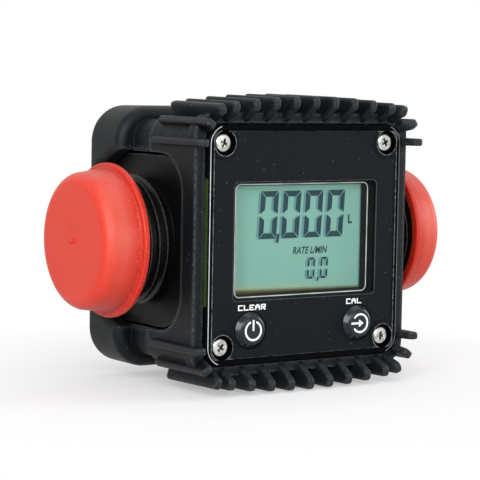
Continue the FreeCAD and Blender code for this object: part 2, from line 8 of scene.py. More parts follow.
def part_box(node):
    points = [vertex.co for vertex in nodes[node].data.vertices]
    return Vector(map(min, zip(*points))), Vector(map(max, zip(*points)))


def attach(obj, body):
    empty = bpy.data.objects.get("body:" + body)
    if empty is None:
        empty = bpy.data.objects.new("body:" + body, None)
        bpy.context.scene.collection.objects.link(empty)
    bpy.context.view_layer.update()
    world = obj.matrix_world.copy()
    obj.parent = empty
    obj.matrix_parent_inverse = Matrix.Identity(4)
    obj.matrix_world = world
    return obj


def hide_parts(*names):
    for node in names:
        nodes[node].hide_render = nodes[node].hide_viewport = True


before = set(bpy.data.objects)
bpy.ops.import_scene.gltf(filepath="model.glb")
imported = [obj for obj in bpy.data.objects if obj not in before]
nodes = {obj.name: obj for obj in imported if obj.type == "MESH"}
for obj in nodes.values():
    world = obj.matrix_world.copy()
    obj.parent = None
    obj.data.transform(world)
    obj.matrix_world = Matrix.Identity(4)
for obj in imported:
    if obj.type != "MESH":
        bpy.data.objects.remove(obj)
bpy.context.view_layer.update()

# Turbine body and port ends: black glass-filled nylon mouldings with a satin skin. Each port
# end is a flat plate with a pipe stub, split down the middle by the parting line of its mould.
mm = 0.001
shaft_low, shaft_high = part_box("rotor_shaft")
flow_y = (shaft_low.y + shaft_high.y) / 2
flow_z = (shaft_low.z + shaft_high.z) / 2
nylon_dark = (0.001, 0.001, 0.0011)
nylon_pale = (0.003, 0.003, 0.0034)
nylon_edge_highlight = (0.26, 0.27, 0.275)
thread_crest_highlight = (0.05, 0.053, 0.057)
neck_radius = 17 * mm
neck_reach = 36 * mm
plate_highlight_reach = 0.4 * mm
parting_line_half = 0.05 * mm


def begin_finish(name, colour, roughness, gloss=0.5):
    """A node material, its shader and the Object coordinates that its patterns read."""
    finish = bpy.data.materials.new(name)
    finish.use_nodes = True
    shader = finish.node_tree.nodes["Principled BSDF"]
    shader.inputs["Base Color"].default_value = (*colour, 1)
    shader.inputs["Roughness"].default_value = roughness
    shader.inputs["Specular IOR Level"].default_value = gloss
    place = finish.node_tree.nodes.new("ShaderNodeTexCoord").outputs["Object"]
    return finish, shader, place


def grain(finish, place, size, detail=2.0):
    """Cloudy noise with grains of about this size."""
    noise = finish.node_tree.nodes.new("ShaderNodeTexNoise")
    noise.inputs["Scale"].default_value = 1 / size
    noise.inputs["Detail"].default_value = detail
    finish.node_tree.links.new(place, noise.inputs["Vector"])
    return noise.outputs["Fac"]


def sum_up(finish, operation, first, second):
    """One Math node on two sockets or numbers."""
    math_node = finish.node_tree.nodes.new("ShaderNodeMath")
    math_node.operation = operation
    for socket, value in zip(math_node.inputs, (first, second)):
        if isinstance(value, (int, float)):
            socket.default_value = value
        else:
            finish.node_tree.links.new(value, socket)
    return math_node.outputs["Value"]


def span(finish, factor, low, high, first=0.0, last=1.0):
    """Stretches the part of a factor between low and high to run from first to last."""
    stretch = finish.node_tree.nodes.new("ShaderNodeMapRange")
    for name, value in (("From Min", low), ("From Max", high), ("To Min", first), ("To Max", last)):
        stretch.inputs[name].default_value = value
    finish.node_tree.links.new(factor, stretch.inputs["Value"])
    return stretch.outputs["Result"]


def colour_mix(finish, factor, first, second):
    """Colour from first to second as the factor goes from 0 to 1."""
    mix = finish.node_tree.nodes.new("ShaderNodeMix")
    mix.data_type = "RGBA"
    factor_socket = mix.inputs[0]
    finish.node_tree.links.new(factor, factor_socket)
    for socket, value in ((mix.inputs[6], first), (mix.inputs[7], second)):
        if isinstance(value, tuple):
            socket.default_value = (*value, 1)
        else:
            finish.node_tree.links.new(value, socket)
    return mix.outputs[2]


def set_colour(finish, shader, colour):
    finish.node_tree.links.new(colour, shader.inputs["Base Color"])


def cloud_colour(finish, shader, place, size, first, second, detail=2.0):
    """Base colour that drifts between two tones in clouds of about this size."""
    set_colour(finish, shader, colour_mix(finish, grain(finish, place, size, detail), first, second))


def set_bump(finish, shader, height, depth, edge_round):
    """Raised pattern on a surface whose sharp edges are moulded with a small radius."""
    rounding = finish.node_tree.nodes.new("ShaderNodeBevel")
    rounding.samples = 6
    rounding.inputs["Radius"].default_value = edge_round
    bump = finish.node_tree.nodes.new("ShaderNodeBump")
    bump.inputs["Distance"].default_value = depth
    finish.node_tree.links.new(height, bump.inputs["Height"])
    finish.node_tree.links.new(rounding.outputs["Normal"], bump.inputs["Normal"])
    finish.node_tree.links.new(bump.outputs["Normal"], shader.inputs["Normal"])


def grain_bump(finish, shader, place, size, depth, edge_round, detail=2.0):
    """Such a surface with a fine moulded or ground grain."""
    set_bump(finish, shader, grain(finish, place, size, detail), depth, edge_round)


def axes_of(finish, place):
    split = finish.node_tree.nodes.new("ShaderNodeSeparateXYZ")
    finish.node_tree.links.new(place, split.inputs["Vector"])
    return split.outputs["X"], split.outputs["Y"], split.outputs["Z"]


def from_flow_axis(finish, place):
    """Distance from the axis of the pipe."""
    _, y, z = axes_of(finish, place)
    square_y = sum_up(finish, "POWER", sum_up(finish, "SUBTRACT", y, flow_y), 2)
    square_z = sum_up(finish, "POWER", sum_up(finish, "SUBTRACT", z, flow_z), 2)
    return sum_up(finish, "SQRT", sum_up(finish, "ADD", square_y, square_z), 0)


def hemmed_in(finish, reach, inside):
    """1 where faces meet within a reach: on outer edges, felt from inside the skin, or in hollows."""
    closeness = finish.node_tree.nodes.new("ShaderNodeAmbientOcclusion")
    closeness.inside = inside
    closeness.only_local = True
    closeness.samples = 8
    closeness.inputs["Distance"].default_value = reach
    return span(finish, closeness.outputs["AO"], low=0.92, high=0.5)


def coat(finish, *names):
    """Gives a finish to solids that keep their own shape."""
    for name in names:
        nodes[name].data.materials.clear()
        nodes[name].data.materials.append(finish)


nylon, nylon_shader, nylon_place = begin_finish("black_nylon", nylon_dark, roughness=0.42, gloss=0.12)
nylon_cloud = grain(nylon, nylon_place, 6 * mm, detail=4)
nylon_tone = colour_mix(nylon, nylon_cloud, nylon_dark, nylon_pale)
nylon_x, nylon_y, _ = axes_of(nylon, nylon_place)
# Painted highlight: a pale line along the rounded outer edges of the mouldings, left off near the pipe stubs.
in_neck = sum_up(nylon, "LESS_THAN", from_flow_axis(nylon, nylon_place), neck_radius)
near_plate = sum_up(nylon, "LESS_THAN", sum_up(nylon, "ABSOLUTE", nylon_x, 0), neck_reach)
near_stub = sum_up(nylon, "MULTIPLY", in_neck, near_plate)
nylon_highlit_edges = sum_up(nylon, "SUBTRACT", hemmed_in(nylon, plate_highlight_reach, inside=True), near_stub)
set_colour(nylon, nylon_shader, colour_mix(nylon, nylon_highlit_edges, nylon_tone, nylon_edge_highlight))
nylon_skin = grain(nylon, nylon_place, 2 * mm, detail=3)
nylon_rough = span(nylon, nylon_skin, low=0.2, high=0.8, first=0.34, last=0.46)
nylon.node_tree.links.new(nylon_rough, nylon_shader.inputs["Roughness"])
from_parting = sum_up(nylon, "ABSOLUTE", sum_up(nylon, "SUBTRACT", nylon_y, flow_y), 0)
parting_line = sum_up(nylon, "LESS_THAN", from_parting, parting_line_half)
nylon_height = sum_up(nylon, "ADD", grain(nylon, nylon_place, 0.3 * mm), parting_line)
set_bump(nylon, nylon_shader, nylon_height, depth=0.015 * mm, edge_round=0.3 * mm)
coat(nylon, "turbine_body", "inlet_port_end", "outlet_port_end")

# Pipe threads: a blunt moulded ridge winds round each stub, right-handed at both ends, and its
# crests are chamfered where it runs out at the undercut and at the mouth.
port_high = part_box("outlet_port_end")[1]
thread_pitch = 2.309 * mm
thread_length = 17.5 * mm
mouth_chamfer = 2.8 * mm
pitch_radius = 15.9 * mm
thread_crest = 16.6 * mm
thread_root = 15.84 * mm
ridge_half = 0.66 * mm
crest_half = 0.14 * mm
crest_highlight_depth = 0.07 * mm
steps_per_turn = 48
thread_start = port_high.x - thread_length
thread_end = port_high.x - mouth_chamfer
thread_turns = (thread_end - thread_start - 2 * ridge_half) / thread_pitch

polished, polished_shader, polished_place = begin_finish(
    "polished_nylon", nylon_dark, roughness=0.2, gloss=0.32)
polished_cloud = grain(polished, polished_place, 2 * mm, detail=3)
polished_tone = colour_mix(polished, polished_cloud, nylon_dark, nylon_pale)
thread_radius = from_flow_axis(polished, polished_place)
# Painted highlight: the outermost band of each thread crest is paler.
crest_highlight = span(polished, thread_radius, thread_crest - crest_highlight_depth, thread_crest)
set_colour(polished, polished_shader, colour_mix(polished, crest_highlight, polished_tone, thread_crest_highlight))
grain_bump(polished, polished_shader, polished_place, 0.5 * mm, depth=0.01 * mm, edge_round=0.08 * mm)


def add_piece(name, shape, finish, body, crease=35):
    """Makes a finished bmesh an object that moves with a body; edges over the crease stay sharp."""
    mesh = bpy.data.meshes.new(name)
    shape.to_mesh(mesh)
    shape.free()
    mesh.shade_smooth()
    mesh.set_sharp_from_angle(angle=math.radians(crease))
    mesh.materials.append(finish)
    piece = bpy.data.objects.new(name, mesh)
    bpy.context.scene.collection.objects.link(piece)
    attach(piece, body)
    return piece


def thread_ridge():
    """The outlet's ridge: a section spun along a screw line, its height cut down at both ends."""
    ridge = bmesh.new()
    section = ((-ridge_half, thread_root), (-crest_half, thread_crest), (crest_half, thread_crest),
               (ridge_half, thread_root))
    start = thread_start + ridge_half
    corners = [ridge.verts.new((start + x, flow_y, flow_z - radius)) for x, radius in section]
    for i, corner in enumerate(corners):
        ridge.edges.new((corners[i - 1], corner))
    steps = round(steps_per_turn * thread_turns)
    bmesh.ops.spin(ridge, geom=ridge.verts[:] + ridge.edges[:], cent=(0, flow_y, flow_z), axis=(1, 0, 0),
                   dvec=(thread_pitch / steps_per_turn, 0, 0), angle=math.tau * steps / steps_per_turn,
                   steps=steps)
    for vert in ridge.verts:
        arm = Vector((0, vert.co.y - flow_y, vert.co.z - flow_z))
        runout = pitch_radius + min(vert.co.x - thread_start, thread_end - vert.co.x)
        arm.length = max(min(arm.length, runout), thread_root)
        vert.co = Vector((vert.co.x, flow_y, flow_z)) + arm
    bmesh.ops.holes_fill(ridge, edges=ridge.edges[:], sides=0)
    bmesh.ops.recalc_face_normals(ridge, faces=ridge.faces[:])
    return ridge


add_piece("outlet_thread", thread_ridge(), polished, "meter", crease=50)
inlet_ridge = thread_ridge()
bmesh.ops.rotate(inlet_ridge, cent=(0, flow_y, flow_z), matrix=Matrix.Rotation(math.pi, 3, "Z"),
                 verts=inlet_ridge.verts[:])
add_piece("inlet_thread", inlet_ridge, polished, "meter", crease=50)

# Turbine cartridge in the bore: an acetal rotor with two pulse magnets on a steel shaft, carried
# by bushes in two vaned straighteners that spring rings hold in place. Seen with the caps off.
acetal_warm = (0.62, 0.61, 0.55)
acetal_clear = (0.72, 0.72, 0.68)
bush_amber = (0.45, 0.36, 0.2)
bush_brown = (0.36, 0.27, 0.14)
steel_grey = (0.56, 0.56, 0.57)
steel_dull = (0.42, 0.42, 0.44)

acetal, acetal_shader, acetal_place = begin_finish("natural_acetal", acetal_clear, roughness=0.36, gloss=0.5)
cloud_colour(acetal, acetal_shader, acetal_place, 3 * mm, acetal_warm, acetal_clear, detail=3)
acetal_shader.inputs["Subsurface Weight"].default_value = 0.15
acetal_shader.inputs["Subsurface Radius"].default_value = (1 * mm, 0.9 * mm, 0.7 * mm)
grain_bump(acetal, acetal_shader, acetal_place, 0.4 * mm, depth=0.01 * mm, edge_round=0.2 * mm)
coat(acetal, "turbine_rotor", "inlet_straightener", "outlet_straightener")

bush, bush_shader, bush_place = begin_finish("bearing_plastic", bush_amber, roughness=0.3, gloss=0.5)
cloud_colour(bush, bush_shader, bush_place, 1.5 * mm, bush_brown, bush_amber, detail=3)
grain_bump(bush, bush_shader, bush_place, 0.2 * mm, depth=0.005 * mm, edge_round=0.1 * mm)
coat(bush, "inlet_bearing_bush", "outlet_bearing_bush")

steel, steel_shader, steel_place = begin_finish("ground_steel", steel_grey, roughness=0.28, gloss=0.5)
steel_shader.inputs["Metallic"].default_value = 1
cloud_colour(steel, steel_shader, steel_place, 0.8 * mm, steel_dull, steel_grey, detail=4)
grain_bump(steel, steel_shader, steel_place, 0.15 * mm, depth=0.004 * mm, edge_round=0.1 * mm, detail=4)
coat(steel, "rotor_shaft", "rotor_magnets", "inlet_retaining_ring", "outlet_retaining_ring")

# Electronics: a black moulded tray with a rubber seal holds the green board, the pulse pick-up,
# the controller, two tact switches and two small cells in deep wells. All of it is closed in.
tray_black = (0.012, 0.012, 0.013)
tray_grey = (0.02, 0.02, 0.022)
seal_grey = (0.03, 0.03, 0.03)
seal_dusty = (0.05, 0.05, 0.048)
board_green = (0.02, 0.12, 0.05)
board_deep = (0.012, 0.08, 0.035)
chip_black = (0.01, 0.01, 0.011)
chip_grey = (0.018, 0.018, 0.02)
can_grey = (0.3, 0.31, 0.33)
can_dull = (0.22, 0.23, 0.25)
brass_yellow = (0.62, 0.48, 0.22)
brass_brown = (0.46, 0.34, 0.15)

tray, tray_shader, tray_place = begin_finish("tray_plastic", tray_black, roughness=0.5, gloss=0.35)
cloud_colour(tray, tray_shader, tray_place, 4 * mm, tray_black, tray_grey, detail=4)
grain_bump(tray, tray_shader, tray_place, 0.3 * mm, depth=0.02 * mm, edge_round=0.2 * mm)
coat(tray, "electronics_case")

seal, seal_shader, seal_place = begin_finish("seal_rubber", seal_grey, roughness=0.7, gloss=0.3)
cloud_colour(seal, seal_shader, seal_place, 2 * mm, seal_grey, seal_dusty, detail=4)
grain_bump(seal, seal_shader, seal_place, 0.3 * mm, depth=0.02 * mm, edge_round=0.1 * mm)
coat(seal, "case_gasket", "lcd_strips")

board, board_shader, board_place = begin_finish("solder_mask", board_green, roughness=0.35, gloss=0.5)
board_cloud = grain(board, board_place, 1.5 * mm)
set_colour(board, board_shader, colour_mix(board, board_cloud, board_deep, board_green))
set_bump(board, board_shader, board_cloud, depth=0.02 * mm, edge_round=0.1 * mm)
coat(board, "circuit_board")

chip, chip_shader, chip_place = begin_finish("moulded_component", chip_black, roughness=0.55, gloss=0.4)
cloud_colour(chip, chip_shader, chip_place, 1 * mm, chip_black, chip_grey, detail=4)
grain_bump(chip, chip_shader, chip_place, 0.1 * mm, depth=0.01 * mm, edge_round=0.1 * mm)
coat(chip, "controller_chip", "pulse_sensor", "reset_switch", "calibrate_switch", "reset_plunger",
     "calibrate_plunger")

can, can_shader, can_place = begin_finish("wrapped_can", can_grey, roughness=0.3, gloss=0.5)
can_shader.inputs["Metallic"].default_value = 0.8
cloud_colour(can, can_shader, can_place, 3 * mm, can_dull, can_grey, detail=4)
grain_bump(can, can_shader, can_place, 0.5 * mm, depth=0.01 * mm, edge_round=0.1 * mm)
coat(can, "upper_cell", "lower_cell")

brass, brass_shader, brass_place = begin_finish("contact_brass", brass_yellow, roughness=0.3, gloss=0.5)
brass_shader.inputs["Metallic"].default_value = 1
cloud_colour(brass, brass_shader, brass_place, 1 * mm, brass_brown, brass_yellow, detail=4)
grain_bump(brass, brass_shader, brass_place, 0.3 * mm, depth=0.01 * mm, edge_round=0.1 * mm)
coat(brass, "cell_contacts")

# Display: a reflective liquid-crystal glass over a matt foil, in a black holder that is wider
# than the window. The glass is grey-green, browner along its lower edge where the foil ends.
glass_low, glass_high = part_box("lcd_panel")
glass_front = glass_low.y
glass_green = (0.2, 0.4, 0.325)
glass_cool = (0.184, 0.395, 0.332)
glass_edge_pale = (0.5, 0.55, 0.43)
glass_edge_dark = (0.03, 0.06, 0.07)
glass_yellow = (0.3, 0.4, 0.22)
glass_brown = (0.08, 0.06, 0.025)
foil_grey = (0.55, 0.57, 0.55)
foil_dull = (0.44, 0.46, 0.44)
holder_black = (0.003, 0.003, 0.0035)
holder_grey = (0.006, 0.006, 0.007)
yellow_start, yellow_full = 2.7 * mm, 0.7 * mm
brown_start, brown_taper = 0.8 * mm, 0.5 * mm
shade_start, shade_full = 0.7 * mm, 0.05 * mm
glass_highlight_half = 0.28 * mm
glass_highlight_past = 3 * mm
glass_highlight_corner = 0.1 * mm

glass, glass_shader, glass_place = begin_finish("display_glass", glass_green, roughness=0.3, gloss=0.12)
glass_x, _, glass_z = axes_of(glass, glass_place)
glass_tone = colour_mix(glass, grain(glass, glass_place, 9 * mm), glass_green, glass_cool)
towards_left = span(glass, glass_x, glass_high.x, glass_low.x)
yellowing = span(glass, glass_z, glass_low.z + yellow_start, glass_low.z + yellow_full)
yellowing = sum_up(glass, "MULTIPLY", yellowing, towards_left)
glass_tone = colour_mix(glass, yellowing, glass_tone, glass_yellow)
edge_taper = sum_up(glass, "MULTIPLY", towards_left, brown_taper)
tapered_z = sum_up(glass, "SUBTRACT", glass_z, edge_taper)
lower_edge = span(glass, tapered_z, glass_low.z + brown_start, glass_low.z)
glass_tone = colour_mix(glass, lower_edge, glass_tone, glass_brown)


def outline_distance(finish, place, half_x, low, high, corner):
    """How far a point lies outside an upright rectangle with round corners."""
    x, _, z = axes_of(finish, place)
    past_x = sum_up(finish, "SUBTRACT", sum_up(finish, "ABSOLUTE", x, 0), half_x - corner)
    from_middle = sum_up(finish, "ABSOLUTE", sum_up(finish, "SUBTRACT", z, (low + high) / 2), 0)
    past_z = sum_up(finish, "SUBTRACT", from_middle, (high - low) / 2 - corner)
    square_x = sum_up(finish, "POWER", sum_up(finish, "MAXIMUM", past_x, 0), 2)
    square_z = sum_up(finish, "POWER", sum_up(finish, "MAXIMUM", past_z, 0), 2)
    outside = sum_up(finish, "SQRT", sum_up(finish, "ADD", square_x, square_z), 0)
    inside = sum_up(finish, "MINIMUM", sum_up(finish, "MAXIMUM", past_x, past_z), 0)
    return sum_up(finish, "SUBTRACT", sum_up(finish, "ADD", outside, inside), corner)


def outline_mask(finish, place, half_x, low, high, corner, width):
    """1 within a width of that rectangle's outline."""
    distance = outline_distance(finish, place, half_x, low, high, corner)
    return sum_up(finish, "LESS_THAN", sum_up(finish, "ABSOLUTE", distance, 0), width)


# Painted highlight: a pale line along the glass's left edge.
glass_edge_highlight = outline_mask(glass, glass_place, glass_high.x, glass_low.z - glass_highlight_past,
                           glass_high.z + glass_highlight_past, glass_highlight_corner, glass_highlight_half)
glass_edge_highlight = sum_up(glass, "MULTIPLY", glass_edge_highlight, sum_up(glass, "LESS_THAN", glass_x, 0))
glass_tone = colour_mix(glass, glass_edge_highlight, glass_tone, glass_edge_pale)
holder_shade = span(glass, glass_x, glass_high.x - shade_start, glass_high.x - shade_full)
set_colour(glass, glass_shader, colour_mix(glass, holder_shade, glass_tone, glass_edge_dark))
coat(glass, "lcd_panel")

foil, foil_shader, foil_place = begin_finish("matt_foil", foil_grey, roughness=0.5, gloss=0.5)
foil_shader.inputs["Metallic"].default_value = 0.7
cloud_colour(foil, foil_shader, foil_place, 1.5 * mm, foil_dull, foil_grey, detail=3)
grain_bump(foil, foil_shader, foil_place, 0.2 * mm, depth=0.01 * mm, edge_round=0.05 * mm)
coat(foil, "lcd_reflector")

holder, holder_shader, holder_place = begin_finish("holder_plastic", holder_black, roughness=0.4, gloss=0.2)
cloud_colour(holder, holder_shader, holder_place, 3 * mm, holder_black, holder_grey, detail=3)
grain_bump(holder, holder_shader, holder_place, 0.3 * mm, depth=0.01 * mm, edge_round=0.1 * mm)
coat(holder, "lcd_frame")

# Display figures: four leaning noughts with a decimal mark, a litre sign and a small flow line
# below. Each stroke throws a paler shadow on the foil behind, to its left as the light falls.
figure_lean = math.radians(3.5)
figure_gap = 0.24 * mm
ink_slate = (0.018, 0.047, 0.055)
ink_teal = (0.031, 0.065, 0.075)
shadow_teal = (0.09, 0.215, 0.23)
shadow_pale = (0.13, 0.28, 0.285)
ink_lift = 0.03 * mm
shadow_lift = 0.015 * mm
shadow_shift = 0.7 * mm
ink_depth = 0.008 * mm
# Each row: how many noughts, the first one's x, their pitch, their z, and (width, height, stroke).
figure_rows = (
    (4, -9.69 * mm, 7 * mm, flow_z + 7.05 * mm, (5.7 * mm, 12.3 * mm, 1.7 * mm)),
    (2, 3.9 * mm, 4.12 * mm, flow_z - 6.87 * mm, (2.6 * mm, 5.7 * mm, 0.85 * mm)),
)
# Each mark: x, z and (width, height).
decimal_marks = (
    (-6.76 * mm, flow_z + 1.1 * mm, (0.8 * mm, 2.3 * mm)),
    (6.1 * mm, flow_z - 9.75 * mm, (0.5 * mm, 1 * mm)),
)
capital_height = 0.69

ink, ink_shader, ink_place = begin_finish("display_ink", ink_slate, roughness=0.4, gloss=0.05)
set_colour(ink, ink_shader, colour_mix(ink, grain(ink, ink_place, 2 * mm), ink_slate, ink_teal))
shade, shade_shader, shade_place = begin_finish("ink_shadow", shadow_teal, roughness=0.4, gloss=0.05)
shade_cloud = grain(shade, shade_place, 3 * mm)
set_colour(shade, shade_shader, colour_mix(shade, shade_cloud, shadow_teal, shadow_pale))


def nought(width, height, stroke):
    """Six mitred strokes of a nought: a frame is inset, split by gaps and mirrored from one quarter."""
    figure = bmesh.new()
    bmesh.ops.create_grid(figure, x_segments=1, y_segments=1, size=0.5)
    bmesh.ops.scale(figure, vec=(width, height, 1), verts=figure.verts[:])
    middle = figure.faces[:]
    bmesh.ops.inset_region(figure, faces=middle, thickness=stroke, use_boundary=True, use_even_offset=True)
    bmesh.ops.delete(figure, geom=middle, context="FACES_ONLY")
    strokes = figure.faces[:]
    rims = bmesh.ops.inset_individual(figure, faces=strokes, thickness=figure_gap / 2, use_even_offset=True)
    bmesh.ops.delete(figure, geom=rims["faces"], context="FACES")
    bmesh.ops.bisect_plane(figure, geom=figure.verts[:] + figure.edges[:] + figure.faces[:],
                           plane_co=(-width / 2, figure_gap / 2, 0), plane_no=(0.75, -1, 0),
                           clear_outer=True)
    for side in ("-X", "Y"):
        bmesh.ops.symmetrize(figure, input=figure.verts[:] + figure.edges[:] + figure.faces[:],
                             direction=side)
    return figure


def flat_bar(width, height):
    """A flat upright bar; it leans only when it is stood up."""
    bar = bmesh.new()
    bmesh.ops.create_grid(bar, x_segments=1, y_segments=1, size=0.5)
    bmesh.ops.scale(bar, vec=(width, height, 1), verts=bar.verts[:])
    return bar


def stand_up(shape, x, y, z, lean=0.0, depth=ink_depth):
    """Leans a flat shape, gives it thickness, turns it to face the front and puts it in place."""
    slope = Matrix(((1, math.tan(lean), 0, 0), (0, 1, 0, 0), (0, 0, 1, 0), (0, 0, 0, 1)))
    upright = Matrix.Translation((x, y, z)) @ Matrix.Rotation(math.pi / 2, 4, "X") @ slope
    bmesh.ops.recalc_face_normals(shape, faces=shape.faces[:])
    for face in shape.faces:
        if face.normal.z < 0:
            face.normal_flip()
    bmesh.ops.solidify(shape, geom=shape.faces[:], thickness=depth)
    bmesh.ops.transform(shape, matrix=upright, verts=shape.verts[:])
    return shape


def join_shapes(shapes):
    """Several placed shapes as one bmesh."""
    whole = bmesh.new()
    for shape in shapes:
        part = bpy.data.meshes.new("placed")
        shape.to_mesh(part)
        shape.free()
        whole.from_mesh(part)
        bpy.data.meshes.remove(part)
    return whole


def display_figures(lift, shift):
    """All strokes of the display at one depth, moved to the left by a shift."""
    front = glass_front - lift
    shapes = []
    for count, first_x, pitch, z, size in figure_rows:
        for i in range(count):
            x = first_x + i * pitch - shift
            shapes.append(stand_up(nought(*size), x, front, z, figure_lean))
    for x, z, size in decimal_marks:
        shapes.append(stand_up(flat_bar(*size), x - shift, front, z, 2 * figure_lean))
    return join_shapes(shapes)


def lettering(words, x, z, height, stretch, weight, lean=0.0):
    """Words as a mesh of their own, centred on a point of the glass."""
    curve = bpy.data.curves.new("letters", "FONT")
    curve.body = words
    curve.align_x = "CENTER"
    curve.align_y = "CENTER"
    curve.offset = weight
    text_object = bpy.data.objects.new("letters", curve)
    bpy.context.scene.collection.objects.link(text_object)
    flat = bpy.data.meshes.new_from_object(text_object)
    bpy.data.objects.remove(text_object)
    shape = bmesh.new()
    shape.from_mesh(flat)
    bpy.data.meshes.remove(flat)
    bmesh.ops.scale(shape, vec=(height / capital_height * stretch, height / capital_height, 1),
                    verts=shape.verts[:])
    return stand_up(shape, x, glass_front - ink_lift, z, lean)


add_piece("display_shadows", display_figures(shadow_lift, shadow_shift), shade, "meter")
add_piece("display_digits", display_figures(ink_lift, 0), ink, "meter")
litre = lettering("L", 16.05 * mm, flow_z + 5.3 * mm, height=2.1 * mm, stretch=0.9, weight=0.04)
add_piece("litre_sign", litre, ink, "meter")
caption = lettering("RATE L/MIN", 3.45 * mm, flow_z - 2.3 * mm, height=1.7 * mm, stretch=0.84, weight=0.025,
                    lean=0.2)
add_piece("flow_caption", caption, ink, "meter")

# Front cover: a clear acrylic plate with polished edges. It is see-through at the window and
# looks dark at its rim, where the black case shows behind. Painted on it: the display's green
# reflection along its side edges, a highlight near its side edges, and a thin glint along the
# edge of the label's field.
cover_low, cover_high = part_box("front_cover")
window_half_x = 22.3 * mm
window_low = flow_z - 13.9 * mm
window_high = flow_z + 15.6 * mm
acrylic_clear = (0.1, 0.12, 0.12)
acrylic_rim = (0.002, 0.0023, 0.0028)
acrylic_side_reflection = (0.034, 0.06, 0.016)
acrylic_highlight = (0.66, 0.7, 0.74)
acrylic_glint = (0.2, 0.215, 0.22)
acrylic_backed = (0.011, 0.0125, 0.0145)
cover_corner = 4.5 * mm
edge_inset = 0.5 * mm
front_highlight_half = 0.1 * mm
front_highlight_fade = 1.7
side_skin = 0.05 * mm
window_margin = 1 * mm
label_low, label_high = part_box("face_label")
field_margin = 0.4 * mm
field_corner = 1.5 * mm
film_edge_half = 0.11 * mm
screw_pitch_half = 25.25 * mm
notch_radius = 3.2 * mm
window_alpha = 0.03
rim_alpha = 0.85

acrylic, acrylic_shader, acrylic_place = begin_finish(
    "clear_acrylic", acrylic_rim, roughness=0.12, gloss=0.03)
acrylic_x, _, acrylic_z = axes_of(acrylic, acrylic_place)
across = sum_up(acrylic, "ABSOLUTE", acrylic_x, 0)
between_sides = sum_up(acrylic, "LESS_THAN", across, window_half_x + window_margin)
window_middle = (window_low + window_high) / 2
above = sum_up(acrylic, "ABSOLUTE", sum_up(acrylic, "SUBTRACT", acrylic_z, window_middle), 0)
level_with_it = sum_up(acrylic, "LESS_THAN", above, (window_high - window_low) / 2 + window_margin)
in_window = sum_up(acrylic, "MULTIPLY", between_sides, level_with_it)
# Painted reflection: the display's green shows along the cover's side edges, level with the window.
at_side = sum_up(acrylic, "GREATER_THAN", across, cover_high.x - side_skin)
side_reflection = sum_up(acrylic, "MULTIPLY", at_side, level_with_it)
# Painted highlight: a pale line near the cover's left and right side edges, strongest at the left and fading
# towards the right.
front_edge_highlight = outline_mask(acrylic, acrylic_place, cover_high.x - edge_inset, cover_low.z + edge_inset,
                           cover_high.z - edge_inset, cover_corner, front_highlight_half)
beside_label = sum_up(acrylic, "GREATER_THAN", across, cover_high.x - 0.8 * cover_corner)
front_highlight_weight = span(acrylic, acrylic_x, front_highlight_fade * cover_high.x, -cover_high.x)
front_edge_highlight = sum_up(acrylic, "MULTIPLY", sum_up(acrylic, "MULTIPLY", front_edge_highlight, beside_label), front_highlight_weight)
from_field = outline_distance(acrylic, acrylic_place, label_high.x + field_margin, label_low.z, label_high.z,
                              field_corner)
from_screw_x = sum_up(acrylic, "SUBTRACT", across, screw_pitch_half)
from_screw_z = sum_up(acrylic, "SUBTRACT", acrylic_z, flow_z)
from_screw_z = sum_up(acrylic, "SUBTRACT", sum_up(acrylic, "ABSOLUTE", from_screw_z, 0), screw_pitch_half)
from_screw_x = sum_up(acrylic, "POWER", from_screw_x, 2)
from_screw_z = sum_up(acrylic, "POWER", from_screw_z, 2)
from_screw = sum_up(acrylic, "SQRT", sum_up(acrylic, "ADD", from_screw_x, from_screw_z), 0)
from_film = sum_up(acrylic, "MAXIMUM", from_field, sum_up(acrylic, "SUBTRACT", notch_radius, from_screw))
under_film = sum_up(acrylic, "LESS_THAN", from_film, 0)
# Painted highlight: a thin broken glint along the edge of the label's field and round the screw notches.
film_edge = sum_up(acrylic, "LESS_THAN", sum_up(acrylic, "ABSOLUTE", from_film, 0), film_edge_half)
edge_breaks = span(acrylic, grain(acrylic, acrylic_place, 1.1 * mm, detail=4), low=0.3, high=0.6)
film_edge = sum_up(acrylic, "MULTIPLY", film_edge, edge_breaks)
rim_colour = colour_mix(acrylic, side_reflection, acrylic_rim, acrylic_side_reflection)
rim_colour = colour_mix(acrylic, under_film, rim_colour, acrylic_backed)
rim_colour = colour_mix(acrylic, film_edge, rim_colour, acrylic_glint)
rim_colour = colour_mix(acrylic, front_edge_highlight, rim_colour, acrylic_highlight)
set_colour(acrylic, acrylic_shader, colour_mix(acrylic, in_window, rim_colour, acrylic_clear))
see_through = span(acrylic, in_window, low=0, high=1, first=rim_alpha, last=window_alpha)
acrylic.node_tree.links.new(see_through, acrylic_shader.inputs["Alpha"])
grain_bump(acrylic, acrylic_shader, acrylic_place, 8 * mm, depth=0.01 * mm, edge_round=0.12 * mm, detail=1)
coat(acrylic, "front_cover")

# Seat edge: the display sits in a shallow pocket milled in the back of the cover. The pocket's
# round edge gathers light; that highlight is painted as a thin pale frame that shows through the acrylic.
seat_half_x = 20.85 * mm
seat_low = flow_z - 13.35 * mm
seat_high = flow_z + 15.05 * mm
seat_y = cover_high.y - 0.9 * mm
seat_corner = 1.6 * mm
seat_line = 0.26 * mm
seat_depth = 0.05 * mm
seat_pale = (0.62, 0.7, 0.64)
seat_dim = (0.36, 0.45, 0.4)

seat_glow, seat_shader, seat_place = begin_finish("seat_highlight", seat_pale, roughness=0.2, gloss=0.5)
seat_cloud = span(seat_glow, grain(seat_glow, seat_place, 5 * mm), low=0.35, high=0.65)
set_colour(seat_glow, seat_shader, colour_mix(seat_glow, seat_cloud, seat_dim, seat_pale))


